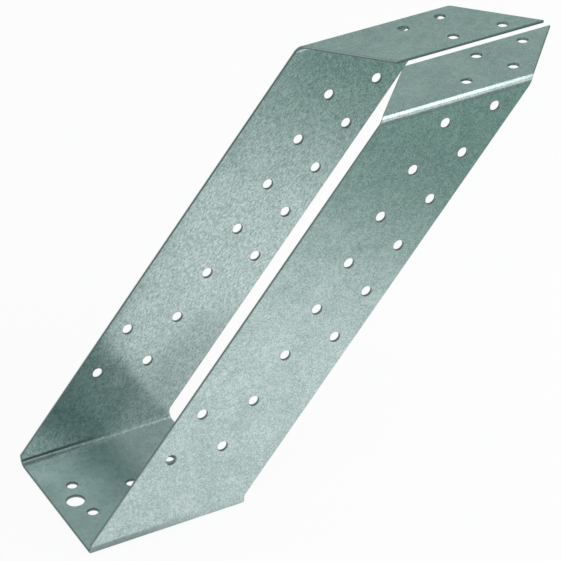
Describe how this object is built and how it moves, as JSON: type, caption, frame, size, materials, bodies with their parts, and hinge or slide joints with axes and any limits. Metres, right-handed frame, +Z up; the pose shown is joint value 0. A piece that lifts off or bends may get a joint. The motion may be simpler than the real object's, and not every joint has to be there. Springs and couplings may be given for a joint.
{
  "type": "purlin connector",
  "caption": "Folded galvanised sheet sleeve that wraps a timber purlin: flat seat, leaning nail plates at both sides and top flanges with a slit between them.",
  "frame": {"origin": "middle of the seat, the upper face of the base, on the purlin's underside", "axes": "+X along the purlin, the way the side plates lean; +Y across it; +Z up, out of the seat"},
  "size_m": [0.2569, 0.0794, 0.1795],
  "materials": {
    "galvanised_sheet": "hot-dip galvanised, fine spangle, satin"
  },
  "bodies": {
    "root": {"purlin_connector": "galvanised_sheet"}
  },
  "joints": []
}
